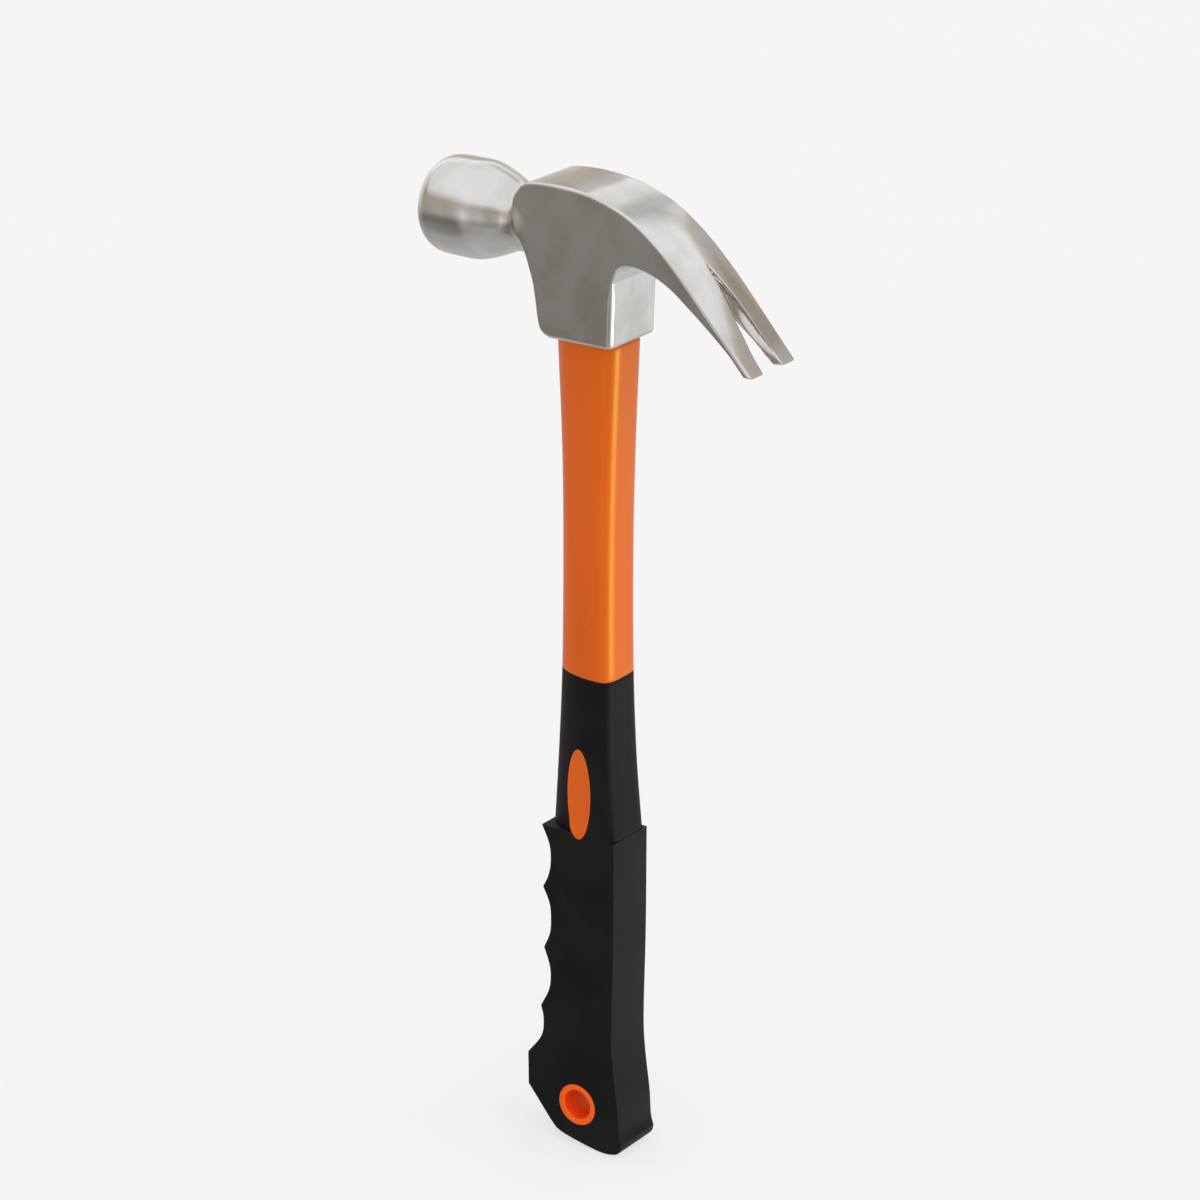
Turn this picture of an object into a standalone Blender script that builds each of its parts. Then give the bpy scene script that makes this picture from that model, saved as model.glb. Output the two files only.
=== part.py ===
"""A claw hammer: a forged steel head bonded to a jacketed fibreglass rod with a rubber grip.

Metres, +Z up. The origin is under the middle of the object's box, level with the butt's lowest point.
The striking face looks along -X and the claws reach towards +X. The cheeks face -Y and +Y.
Sizes and outlines are drawn about the handle's axis, and each object's location moves them to the origin.
Every piece is a separate closed body that keeps GAP to its neighbours.
"""
import math

import bmesh
import bpy
from mathutils import Vector

MM = 0.001
GAP = 0.3 * MM                      # clearance between two pieces that touch on the real tool
HANDLE_X = -2.95 * MM               # the handle's axis, seen from the middle of the object's box

# Head
CHEEK_HALF_WIDTH = 12.3 * MM        # half the distance between the two cheeks
CHEEK_EDGE = 0.9 * MM               # rounding where a cheek meets the faces around it
SOCKET_BOTTOM_Z = 280.6 * MM
CLAW_FLARE = 0.7 * MM               # extra half width at the widest place of the claw
CLAW_FLARE_X = 46.0 * MM
CLAW_FLARE_REACH = 17.0 * MM
CLAW_CROWN = 1.9 * MM               # height of the claw's domed back over its edges
CLAW_CROWN_START_X = 18.0 * MM
CLAW_CROWN_FULL_X = 50.0 * MM

# Poll, turned about an axis that runs along X
POLL_AXIS_Z = 314.1 * MM
POLL_ROOT_X = -10.0 * MM            # where the neck's solid ends inside the block
POLL_SIDES = 56

# Socket, rod and epoxy, all of oval section
CORE_HALF = (6.2 * MM, 4.2 * MM)
CORE_BOTTOM_Z = 28.0 * MM
CORE_TOP_Z = 313.6 * MM
SOCKET_HALF = (8.6 * MM, 6.6 * MM)
SOCKET_TOP_Z = 316.6 * MM

# Handle
SHAFT_WIDEST_X = 4.0 * MM           # where the egg-shaped section is widest
SHAFT_BACK_POWER = 4.0              # squareness of the back half of the section
SHOULDER_POWER = 5.0                # the same just above the lower grip, where it is squarest
SHOULDER_REACH = 34.0 * MM          # how far up the sleeve that squareness fades
SHAFT_SIDES = 48
SHOULDER_Z = 113.3 * MM             # top of the plate-like lower grip
SLEEVE_ROOT = 6.0 * MM              # how far the sleeve's solid starts inside the lower grip
JACKET_Z = 168.0 * MM               # where the orange jacket meets the black grip
TAIL_HALF = (7.6 * MM, 5.6 * MM)    # the jacket's thin tail inside the grip
TAIL_BOTTOM_Z = 30.0 * MM

# Grip
GRIP_HALF_WIDTH = 9.6 * MM
GRIP_EDGE = 0.5 * MM

# Orange inserts
INLAY_CENTRE = (-0.8 * MM, 127.4 * MM)
INLAY_HALF = (5.05 * MM, 15.75 * MM)
INLAY_FLOOR_Y = 7.5 * MM
INLAY_PROUD = 0.2 * MM
EYELET_CENTRE = (-1.3 * MM, 15.0 * MM)
EYELET_OUTER_RADIUS = 7.3 * MM
EYELET_INNER_RADIUS = 5.1 * MM
EYELET_EDGE = 0.4 * MM
ROUND_SIDES = 48

# Poll as (x, radius) in millimetres: face rim, barrel, waist and the flare into the block
POLL_PROFILE = [(-60.0, 12.4), (-59.5, 13.3), (-57.6, 14.8), (-54.5, 15.75), (-48.0, 15.95),
                (-41.5, 15.7), (-35.0, 13.6), (-29.0, 11.1), (-25.0, 10.6), (-22.0, 10.9), (-19.0, 10.9)]

# Nail slot as (x, half width) in millimetres, from its point out past the claw tips
NAIL_SLOT = [(41.2, 0.0), (46.0, 1.2), (50.0, 2.2), (54.0, 3.1), (58.0, 3.7), (62.0, 4.3), (72.0, 6.0)]
NAIL_SLOT_Z = (270.0 * MM, 325.0 * MM)

# Side outlines as (x, z) in millimetres. Each run is one smooth curve; runs meet at corners.
HEAD_CROWN = [(-20.3, 328.2), (-17.0, 329.7), (-9.0, 330.4), (1.0, 330.0), (10.0, 328.4),
              (21.0, 324.4), (32.0, 316.9), (43.0, 306.4), (54.0, 294.4), (65.9, 281.5)]
CLAW_TIP = [(65.9, 281.5), (63.0, 281.5)]
CLAW_UNDERSIDE = [(63.0, 281.5), (57.6, 287.6), (50.4, 294.0), (43.0, 299.8), (36.0, 304.7),
                  (28.6, 307.9), (21.5, 309.0), (16.9, 307.6), (14.7, 302.6)]
SOCKET_BACK = [(14.7, 302.6), (14.3, 293.0), (13.9, 282.4)]
SOCKET_HEEL = [(13.9, 282.4), (13.4, 281.2), (12.2, 280.6)]
SOCKET_BASE = [(12.2, 280.6), (-9.8, 280.6)]
SOCKET_FRONT = [(-9.8, 280.6), (-12.4, 281.7), (-14.3, 284.6), (-15.8, 293.8), (-17.4, 302.3),
                (-19.8, 308.6), (-22.6, 313.4), (-23.7, 318.8), (-23.2, 324.2), (-20.3, 328.2)]

GRIP_FRONT = [
    [(-15.3, 113.3), (-12.4, 107.0), (-11.9, 100.8), (-12.9, 95.6), (-15.0, 91.2)],
    [(-15.0, 91.2), (-12.4, 85.6), (-11.9, 79.8), (-12.4, 74.8), (-14.7, 69.3)],
    [(-14.7, 69.3), (-12.6, 63.6), (-12.1, 59.0), (-12.9, 54.0), (-16.1, 47.6)],
    [(-16.1, 47.6), (-15.1, 43.0), (-16.0, 36.4), (-21.5, 28.8)],
]
GRIP_BUTT = [
    [(-21.5, 28.8), (-21.4, 17.1)],
    [(-21.4, 17.1), (-12.3, 6.1)],
    [(-12.3, 6.1), (-9.0, 3.3), (-2.1, 1.5), (8.1, 0.0), (13.6, 0.7), (15.9, 2.4), (16.7, 4.8)],
]
GRIP_BACK = [(16.7, 4.8), (15.6, 9.0), (15.0, 18.0), (13.2, 32.0), (12.5, 45.0), (13.2, 76.0), (13.4, 113.3)]
GRIP_SHOULDER = [(13.4, 113.3), (-15.3, 113.3)]

# Shaft stations as (z, front x, back x, half width) in millimetres
SHAFT_STATIONS = [(113.3, -15.5, 13.3, 9.6), (140.0, -13.7, 11.2, 9.5), (169.7, -12.45, 10.4, 8.65),
                  (209.0, -12.0, 10.35, 8.35), (243.0, -12.3, 11.1, 8.5), (280.3, -13.9, 12.7, 8.9)]


# ---------------------------------------------------------------- helpers

def clear_scene():
    for item in list(bpy.data.objects):
        bpy.data.objects.remove(item, do_unlink=True)


def make_material(name, colour, roughness, metallic=0.0):
    material = bpy.data.materials.new(name)
    material.use_nodes = True
    shader = material.node_tree.nodes["Principled BSDF"]
    shader.inputs["Base Color"].default_value = (*colour, 1.0)
    shader.inputs["Roughness"].default_value = roughness
    shader.inputs["Metallic"].default_value = metallic
    return material


def make_object(name, bm, material=None, sharp_angle=35.0):
    """Put a bmesh into the scene with outward faces and smooth shading."""
    bmesh.ops.recalc_face_normals(bm, faces=bm.faces)
    mesh = bpy.data.meshes.new(name)
    bm.to_mesh(mesh)
    bm.free()
    mesh.shade_smooth()
    mesh.set_sharp_from_angle(angle=math.radians(sharp_angle))
    item = bpy.data.objects.new(name, mesh)
    item.location.x = HANDLE_X
    bpy.context.collection.objects.link(item)
    if material:
        mesh.materials.append(material)
    return item


def hide_cutter(item):
    item.hide_render = True
    item.display_type = "WIRE"


def combine(item, other, operation):
    """Add an exact Boolean with a hidden helper object."""
    hide_cutter(other)
    modifier = item.modifiers.new(operation.lower() + "_" + other.name, "BOOLEAN")
    modifier.operation = operation
    modifier.solver = "EXACT"
    modifier.object = other


def smooth_curve(points, steps):
    """Catmull-Rom curve through the points, with the given steps in each span."""
    if len(points) == 2:
        return [Vector(points[0]), Vector(points[1])]
    knots = [Vector(p) for p in points]
    knots = [2 * knots[0] - knots[1]] + knots + [2 * knots[-1] - knots[-2]]
    curve = []
    for a, b, c, d in zip(knots, knots[1:], knots[2:], knots[3:]):
        for i in range(steps):
            t = i / steps
            curve.append(0.5 * (2 * b + (c - a) * t + (2 * a - 5 * b + 4 * c - d) * t ** 2
                                + (3 * b - a - 3 * c + d) * t ** 3))
    curve.append(Vector(points[-1]))
    return curve


def join_runs(runs, steps):
    """One closed outline in metres from runs of millimetre points that meet end to end."""
    outline = []
    for run in runs:
        outline += smooth_curve(run, steps)[:-1]
    return [point * MM for point in outline]


def corner_normals(outline):
    """Outward mitred normals of an outline that turns clockwise in (x, z)."""
    normals = []
    for before, here, after in zip(outline[-1:] + outline[:-1], outline, outline[1:] + outline[:1]):
        first = Vector((before.y - here.y, here.x - before.x)).normalized()
        second = Vector((here.y - after.y, after.x - here.x)).normalized()
        middle = (first + second).normalized()
        normals.append(middle / max(0.5, middle.dot(first)))
    return normals


def swept_block(name, outline, half_width, edge, material, flare=None, crown=None):
    """A plate with the given side outline, rounded edges and an optional domed back."""
    rim = [(-half_width + edge * (1 - math.cos(t)), edge * (1 - math.sin(t)))
           for t in (0.0, math.pi / 6, math.pi / 3, math.pi / 2)]
    inner = [(y * half_width, 0.0) for y in (-0.6, -0.3, 0.0, 0.3, 0.6)]
    rows = rim + (inner if crown else []) + [(-y, inset) for y, inset in reversed(rim)]
    normals = corner_normals(outline)
    bm = bmesh.new()
    rings = []
    for y, inset in rows:
        ring = []
        for point, normal in zip(outline, normals):
            rise = crown(point, normal) * (1 - (y / half_width) ** 2) if crown else 0.0
            place = point + normal * (rise - inset)
            spread = flare(point.x) / half_width if flare else 0.0
            ring.append(bm.verts.new((place.x, y * (1 + spread), place.y)))
        rings.append(ring)
    bridge_rings(bm, rings)
    return make_object(name, bm, material)


def bridge_rings(bm, rings):
    """Quads between neighbouring rings and a triangulated cap at each end."""
    for low, high in zip(rings, rings[1:]):
        for i in range(len(low)):
            j = (i + 1) % len(low)
            bm.faces.new((low[i], low[j], high[j], high[i]))
    caps = [bm.faces.new(rings[0]), bm.faces.new(rings[-1])]
    bm.normal_update()
    bmesh.ops.triangulate(bm, faces=caps)


def loft(name, rings, material=None):
    """A solid through rings of points."""
    bm = bmesh.new()
    bridge_rings(bm, [[bm.verts.new(p) for p in ring] for ring in rings])
    return make_object(name, bm, material)


def oval_ring(half, z):
    angles = [2 * math.pi * i / ROUND_SIDES for i in range(ROUND_SIDES)]
    return [(half[0] * math.cos(angle), half[1] * math.sin(angle), z) for angle in angles]


def oval_rod(name, half, low_z, high_z, material=None):
    return loft(name, [oval_ring(half, low_z), oval_ring(half, high_z)], material)


def grown(half, extra):
    return (half[0] + extra, half[1] + extra)


def cross_disc(name, centre, half, low_y, high_y):
    """An oval plug that runs along Y."""
    rings = []
    for y in (low_y, high_y):
        ring = []
        for i in range(ROUND_SIDES):
            angle = 2 * math.pi * i / ROUND_SIDES
            ring.append((centre[0] + half[0] * math.cos(angle), y, centre[1] + half[1] * math.sin(angle)))
        rings.append(ring)
    return loft(name, rings)


def turned(name, profile, origin, axis, sides, material=None):
    """Spin a (distance along the axis, radius) profile about the axis."""
    across = Vector((0.0, 0.0, 1.0))
    bm = bmesh.new()
    verts = [bm.verts.new(origin + axis * along + across * radius) for along, radius in profile]
    edges = [bm.edges.new(pair) for pair in zip(verts, verts[1:])]
    bmesh.ops.spin(bm, geom=verts + edges, cent=origin, axis=axis, angle=2 * math.pi,
                   steps=sides, use_merge=True)
    bmesh.ops.remove_doubles(bm, verts=bm.verts, dist=0.01 * MM)
    return make_object(name, bm, material)


def shaft_ring(z, grow=0.0):
    """Egg-shaped section: a long round front, and a flatter back towards the claws."""
    table = smooth_curve([Vector(row) for row in SHAFT_STATIONS], 8)
    above = max(1, next((i for i, row in enumerate(table) if row[0] * MM > z), len(table) - 1))
    low, high = table[above - 1], table[above]
    share = min(1.0, max(0.0, (z / MM - low[0]) / (high[0] - low[0])))
    _, front, back, half = low.lerp(high, share) * MM
    rise = min(1.0, max(0.0, (z - SHOULDER_Z) / SHOULDER_REACH))
    power = 2 / (SHAFT_BACK_POWER + (SHOULDER_POWER - SHAFT_BACK_POWER) * (1 - rise) ** 2)
    ring = []
    for i in range(SHAFT_SIDES):
        angle = 2 * math.pi * i / SHAFT_SIDES
        along, side = math.cos(angle), math.sin(angle)
        if along < 0:
            x = SHAFT_WIDEST_X + (SHAFT_WIDEST_X - front + grow) * along
            y = (half + grow) * side
        else:
            x = SHAFT_WIDEST_X + (back + grow - SHAFT_WIDEST_X) * along ** power
            y = (half + grow) * math.copysign(abs(side) ** power, side)
        ring.append((x, y, z))
    return ring


# ---------------------------------------------------------------- head

def claw_flare(x):
    """Extra half width of the claw, a smooth hump along X."""
    away = (x - CLAW_FLARE_X) / CLAW_FLARE_REACH
    return CLAW_FLARE * math.exp(-away ** 2)


def claw_crown(point, normal):
    """How far the claw's back is domed, which fades out towards the socket."""
    share = (point.x - CLAW_CROWN_START_X) / (CLAW_CROWN_FULL_X - CLAW_CROWN_START_X)
    share = min(1.0, max(0.0, share))
    return CLAW_CROWN * share * share * (3 - 2 * share) * max(0.0, normal.y)


def make_poll():
    """Face, barrel and neck; the neck's root lies inside the block."""
    barrel = [(x * MM, radius * MM) for x, radius in smooth_curve(POLL_PROFILE, 3)]
    profile = [(barrel[0][0], 0.0)] + barrel + [(POLL_ROOT_X, barrel[-1][1]), (POLL_ROOT_X, 0.0)]
    return turned("poll", profile, Vector((0.0, 0.0, POLL_AXIS_Z)), Vector((1.0, 0.0, 0.0)), POLL_SIDES)


def make_nail_slot():
    """The V between the claws, which runs straight down."""
    outline = [point * MM for point in smooth_curve(NAIL_SLOT, 3)]
    outline += [Vector((point.x, -point.y)) for point in reversed(outline[1:])]
    return loft("nail_slot", [[(p.x, p.y, z) for p in outline] for z in NAIL_SLOT_Z])


def make_head(steel):
    runs = [HEAD_CROWN, CLAW_TIP, CLAW_UNDERSIDE, SOCKET_BACK, SOCKET_HEEL, SOCKET_BASE, SOCKET_FRONT]
    head = swept_block("head", join_runs(runs, 3), CHEEK_HALF_WIDTH, CHEEK_EDGE, steel,
                       flare=claw_flare, crown=claw_crown)
    combine(head, make_poll(), "UNION")
    combine(head, make_nail_slot(), "DIFFERENCE")
    bore = oval_rod("socket_bore", SOCKET_HALF, SOCKET_BOTTOM_Z - 5 * MM, SOCKET_TOP_Z)
    combine(head, bore, "DIFFERENCE")


# ---------------------------------------------------------------- handle

def make_epoxy_bond(epoxy):
    """A cup of epoxy that fills the socket around and above the rod's end."""
    bond = oval_rod("epoxy_bond", grown(SOCKET_HALF, -GAP), SOCKET_BOTTOM_Z + GAP, SOCKET_TOP_Z - GAP, epoxy)
    hole = oval_rod("bond_bore", grown(CORE_HALF, GAP), SOCKET_BOTTOM_Z - 5 * MM, CORE_TOP_Z + GAP)
    combine(bond, hole, "DIFFERENCE")


def make_core(glass):
    oval_rod("fibreglass_core", CORE_HALF, CORE_BOTTOM_Z, CORE_TOP_Z, glass)


def shaft_solid(name, low_z, high_z, layers, material=None, grow=0.0):
    heights = [low_z + (high_z - low_z) * i / layers for i in range(layers + 1)]
    return loft(name, [shaft_ring(z, grow) for z in heights], material)


def make_handle_jacket(orange):
    """The outer shaft, with a thin tail that runs down inside the black grip."""
    jacket = shaft_solid("handle_jacket", JACKET_Z, SOCKET_BOTTOM_Z - GAP, 14, orange)
    combine(jacket, oval_rod("jacket_tail", TAIL_HALF, TAIL_BOTTOM_Z, JACKET_Z + 5 * MM), "UNION")
    bore = oval_rod("jacket_bore", grown(CORE_HALF, GAP), TAIL_BOTTOM_Z - 5 * MM, SOCKET_BOTTOM_Z + 5 * MM)
    combine(jacket, bore, "DIFFERENCE")


def make_rubber_grip(rubber):
    """One moulding: a plate with finger grooves and a hang hole, and the sleeve that rises out of it."""
    runs = GRIP_FRONT + GRIP_BUTT + [GRIP_BACK, GRIP_SHOULDER]
    outline = join_runs(runs, 4)
    outline.reverse()
    grip = swept_block("rubber_grip", outline, GRIP_HALF_WIDTH, GRIP_EDGE, rubber)
    combine(grip, shaft_solid("sleeve", SHOULDER_Z - SLEEVE_ROOT, JACKET_Z - GAP, 9), "UNION")
    bore = oval_rod("grip_bore", grown(TAIL_HALF, GAP), CORE_BOTTOM_Z - GAP, JACKET_Z + 5 * MM)
    combine(grip, bore, "DIFFERENCE")
    hole_half = grown((EYELET_OUTER_RADIUS, EYELET_OUTER_RADIUS), GAP)
    combine(grip, cross_disc("hang_hole", EYELET_CENTRE, hole_half, -20 * MM, 20 * MM), "DIFFERENCE")
    for side in (-1, 1):
        low_y, high_y = sorted((side * (INLAY_FLOOR_Y - GAP), side * 20 * MM))
        pocket = cross_disc("inlay_pocket", INLAY_CENTRE, grown(INLAY_HALF, GAP), low_y, high_y)
        combine(grip, pocket, "DIFFERENCE")


def make_inlay(name, side, orange):
    """An oval insert whose outer face follows the sleeve."""
    low_y, high_y = sorted((side * INLAY_FLOOR_Y, side * 20 * MM))
    inlay = cross_disc(name, INLAY_CENTRE, INLAY_HALF, low_y, high_y)
    inlay.data.materials.append(orange)
    low_z = INLAY_CENTRE[1] - INLAY_HALF[1] - 5 * MM
    high_z = INLAY_CENTRE[1] + INLAY_HALF[1] + 5 * MM
    combine(inlay, shaft_solid(name + "_skin", low_z, high_z, 8, grow=INLAY_PROUD), "INTERSECT")


def make_eyelet(orange):
    """A plain bush through the grip, flush with both cheeks."""
    wall = [(-GRIP_HALF_WIDTH, EYELET_INNER_RADIUS + EYELET_EDGE), (-GRIP_HALF_WIDTH, EYELET_OUTER_RADIUS),
            (GRIP_HALF_WIDTH, EYELET_OUTER_RADIUS), (GRIP_HALF_WIDTH, EYELET_INNER_RADIUS + EYELET_EDGE),
            (GRIP_HALF_WIDTH - EYELET_EDGE, EYELET_INNER_RADIUS),
            (-GRIP_HALF_WIDTH + EYELET_EDGE, EYELET_INNER_RADIUS)]
    origin = Vector((EYELET_CENTRE[0], 0.0, EYELET_CENTRE[1]))
    turned("hang_eyelet", wall + wall[:1], origin, Vector((0.0, 1.0, 0.0)), ROUND_SIDES, orange)


def main():
    clear_scene()
    steel = make_material("polished_steel", (0.62, 0.60, 0.58), 0.12, 1.0)
    epoxy = make_material("epoxy", (0.62, 0.52, 0.30), 0.4)
    glass = make_material("fibreglass", (0.75, 0.72, 0.60), 0.5)
    orange = make_material("orange_plastic", (0.80, 0.16, 0.03), 0.3)
    rubber = make_material("black_rubber", (0.018, 0.017, 0.017), 0.55)
    make_head(steel)
    make_epoxy_bond(epoxy)
    make_core(glass)
    make_handle_jacket(orange)
    make_rubber_grip(rubber)
    make_inlay("inlay_left", -1, orange)
    make_inlay("inlay_right", 1, orange)
    make_eyelet(orange)


main()
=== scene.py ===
import math

import bmesh
import bpy
import numpy as np
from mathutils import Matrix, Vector


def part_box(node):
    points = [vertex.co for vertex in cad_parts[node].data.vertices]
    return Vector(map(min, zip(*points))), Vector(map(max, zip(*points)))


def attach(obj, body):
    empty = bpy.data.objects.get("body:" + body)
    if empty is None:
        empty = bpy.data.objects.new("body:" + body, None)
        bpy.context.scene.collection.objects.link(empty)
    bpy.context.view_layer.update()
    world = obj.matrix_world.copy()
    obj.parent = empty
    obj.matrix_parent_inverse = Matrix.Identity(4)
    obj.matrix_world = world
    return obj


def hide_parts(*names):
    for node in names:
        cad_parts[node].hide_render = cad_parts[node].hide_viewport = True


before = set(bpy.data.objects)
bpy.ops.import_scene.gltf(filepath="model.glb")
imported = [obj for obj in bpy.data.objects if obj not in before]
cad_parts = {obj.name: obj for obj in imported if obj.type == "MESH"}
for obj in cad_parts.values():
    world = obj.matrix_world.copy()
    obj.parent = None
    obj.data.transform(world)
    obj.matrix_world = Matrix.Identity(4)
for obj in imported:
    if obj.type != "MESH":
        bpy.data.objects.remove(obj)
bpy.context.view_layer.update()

# The claw hammer's finished surfaces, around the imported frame.
#
# Shapes are worked out in millimetres about the handle's axis and moved into the frame when a mesh
# is made. The head is a distance field turned into a fine mesh, so that its fillets run into each
# other as they do on a ground and polished forging. The handle, grip and inserts are fine meshes too.

MM = 0.001
TINY = 1e-12             # a squared length that counts as none


def box_mm(node):
    """A CAD node's lowest and highest corners in millimetres."""
    low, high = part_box(node)
    return np.array(low) / MM, np.array(high) / MM


CORE_LOW, CORE_HIGH = box_mm("fibreglass_core")
HEAD_LOW, HEAD_HIGH = box_mm("head")
EYELET_LOW, EYELET_HIGH = box_mm("hang_eyelet")
INLAY_LOW, INLAY_HIGH = box_mm("inlay_left")
JACKET_LOW = box_mm("handle_jacket")[0]
GRIP_HIGH = box_mm("rubber_grip")[1]

HANDLE_X = (CORE_LOW[0] + CORE_HIGH[0]) / 2      # the handle's axis in the frame
CROWN_Z = HEAD_HIGH[2]                           # top of the head
SOCKET_Z = HEAD_LOW[2]                           # underside of the socket
FACE_X = HEAD_LOW[0] - HANDLE_X                  # striking face
TIP_X = HEAD_HIGH[0] - HANDLE_X                  # claw tips

# Head, in millimetres from the handle's axis and down from the crown
CHEEK_HALF_WIDTH = 12.3
CLAW_FLARE = 0.7                     # how far the claws stand out from the cheeks on each side
CLAW_FLARE_X = 46.0
CLAW_FLARE_REACH = 17.0
CLAW_CROWN = 1.9                     # height of the dome along the claws' back
CLAW_CROWN_START_X = 18.0
CLAW_CROWN_FULL_X = 48.0
CLAW_CROWN_FADE = (0.2, 1.8)         # how much nearer the back than the underside the dome comes in
TOP_EDGE = 0.8                       # edge radius of the block and claws
SOCKET_EDGE = 1.8                    # edge radius round the socket
SOCKET_EDGE_DROP = (27.0, 34.0)      # where the one radius turns into the other
SOCKET_EDGE_X = (30.0, 16.0)
POLL_AXIS_DROP = 16.3
POLL_LIMIT_X = -6.0                  # the poll's field is worked out only in front of this
NECK_BLEND = 3.5
SLOT_LIMIT_X = 30.0                  # the nail slot is cut only beyond this
SLOT_EASING = 0.5
SOCKET_BORE_HALF = (8.6, 6.6)
SOCKET_BORE_DROP = 13.8              # the blind end of the socket's bore

# The head's distance field, in millimetres
FIELD_STEP = 0.40
FIELD_MARGIN = 1.5
FAR_OUTSIDE = 50.0                   # a distance that touches nothing
NO_SLOT = -10.0                      # a half width that cuts nothing
SLOPE_REACH = 0.02
LEAST_SLOPE_SQUARED = 0.25           # keeps a point from jumping where the field is flat
SETTLE_ROUNDS = 3

# Side outline as (x, drop); each run is one smooth curve, and runs meet at corners
HEAD_OUTLINE = [
    [(-20.3, 2.2), (-17.0, 0.7), (-9.0, 0.0), (1.0, 0.4), (10.0, 2.0), (21.0, 6.0),
     (32.0, 13.5), (43.0, 24.0), (54.0, 36.0), (65.9, 48.9)],
    [(65.9, 48.9), (63.0, 48.9)],
    [(63.0, 48.9), (57.6, 42.8), (50.4, 36.4), (43.0, 30.6), (36.0, 25.7), (28.6, 22.5),
     (21.5, 21.4), (16.9, 22.8), (14.7, 27.8)],
    [(14.7, 27.8), (14.3, 37.4), (13.9, 48.0)],
    [(13.9, 48.0), (13.4, 49.2), (12.2, 49.8)],
    [(12.2, 49.8), (-9.8, 49.8)],
    [(-9.8, 49.8), (-12.4, 48.7), (-14.3, 45.8), (-15.8, 36.6), (-17.4, 28.1), (-19.8, 21.8),
     (-22.6, 17.0), (-23.7, 11.6), (-23.2, 6.2), (-20.3, 2.2)],
]
# Poll as (x, radius about its axis), and its root inside the block
POLL_PROFILE = [(-60.0, 12.4), (-59.5, 13.3), (-57.6, 14.8), (-54.5, 15.75), (-48.0, 15.95),
                (-41.5, 15.7), (-35.0, 13.6), (-29.0, 11.1), (-25.0, 10.6), (-22.5, 10.9)]
POLL_ROOT = [(-20.5, 10.0), (-18.5, 8.5), (-10.0, 8.0)]
# Nail slot as (x, half width), along the claws' back and along their underside
SLOT_OUTSIDE = [(40.4, -1.0), (42.2, 0.35), (46.5, 1.4), (50.0, 2.7), (53.5, 4.0), (57.5, 4.7),
                (62.0, 4.9), (66.0, 5.3), (72.0, 6.0)]
SLOT_INSIDE = [(38.0, -1.0), (41.6, 0.0), (46.0, 0.9), (50.0, 1.6), (54.0, 2.1), (58.0, 2.6),
               (62.0, 3.7), (66.0, 5.2), (72.0, 6.0)]
SLOT_FLARE = 2.0                     # how late the slot widens on its way to the back

# Handle, in millimetres from the handle's axis and up from the butt
RING_SIDES = 144
RING_ANGLES = 2 * np.pi * np.arange(RING_SIDES) / RING_SIDES
RING_STEP = 1.5                      # height between the shaft's rings
SHARP_ANGLE = 40.0                   # degrees; steeper folds stay crisp
SEAM = 0.03                          # visual gap between pieces that touch
CAD_GAP = 0.3                        # gap between the CAD solids
JACKET_Z = GRIP_HIGH[2] + CAD_GAP    # where orange meets black
JACKET_EASING = 0.18                 # radius that rounds off the ends of the jacket and sleeve
EASING_MIDDLE = 0.3                  # where that rounding's middle lies, as a share of the radius
SHOULDER_Z = 113.3                   # top of the plate-like lower grip
SHAFT_WIDEST_X = 4.0
SHAFT_FRONT_POWER = 2.0              # an ellipse in front, and squarer behind
SHAFT_BACK_POWER = 4.0
SHOULDER_POWER = 5.0                 # the same just above the lower grip, where it is squarest
SHOULDER_REACH = 34.0
CORE_HALF = (CORE_HIGH[:2] - CORE_LOW[:2]) / 2
TAIL_HALF = (7.6, 5.6)               # the jacket's tail inside the grip
GRIP_HALF_WIDTH = GRIP_HIGH[1]
GRIP_EDGE = 0.5                      # edge radius of the lower grip
GRIP_EDGE_POINTS = 5
MITRE_LIMIT = 0.5                    # a corner's mitre is at most 1 / this times the inset
BORE_OVERRUN = 5.0                   # how far the bore's cutting plug passes the grip's top
PLUG_REACH = 20.0                    # how far the crossing plugs reach from the middle plane

# Lower end of the grip's sleeve, buried in the lower grip, as (depth, growth)
SLEEVE_ROOT = [(6.0, -0.8), (1.2, -0.3), (0.8, 0.0)]

# Shaft stations as (z, front x, back x, half width)
SHAFT_STATIONS = [(113.3, -15.5, 13.3, 9.6), (140.0, -13.7, 11.2, 9.5), (169.7, -12.45, 10.4, 8.65),
                  (209.0, -12.0, 10.35, 8.35), (243.0, -12.3, 11.1, 8.5), (280.3, -13.9, 12.7, 8.9)]

# Grip outline as (x, z): four finger grooves, the hooked butt, the back and the shoulder
GRIP_OUTLINE = [
    [(-15.3, 113.3), (-12.4, 107.0), (-11.9, 100.8), (-12.9, 95.6), (-15.0, 91.2)],
    [(-15.0, 91.2), (-12.4, 85.6), (-11.9, 79.8), (-12.4, 74.8), (-14.7, 69.3)],
    [(-14.7, 69.3), (-12.6, 63.6), (-12.1, 59.0), (-12.9, 54.0), (-16.1, 47.6)],
    [(-16.1, 47.6), (-15.1, 43.0), (-16.0, 36.4), (-21.5, 28.8)],
    [(-21.5, 28.8), (-21.4, 17.1)],
    [(-21.4, 17.1), (-12.3, 6.1)],
    [(-12.3, 6.1), (-9.0, 3.3), (-2.1, 1.5), (8.1, 0.0), (13.6, 0.7), (15.9, 2.4), (16.7, 4.8)],
    [(16.7, 4.8), (15.6, 9.0), (15.0, 18.0), (13.2, 32.0), (12.5, 45.0), (13.2, 76.0),
     (13.4, 113.3)],
    [(13.4, 113.3), (-15.3, 113.3)],
]

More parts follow.
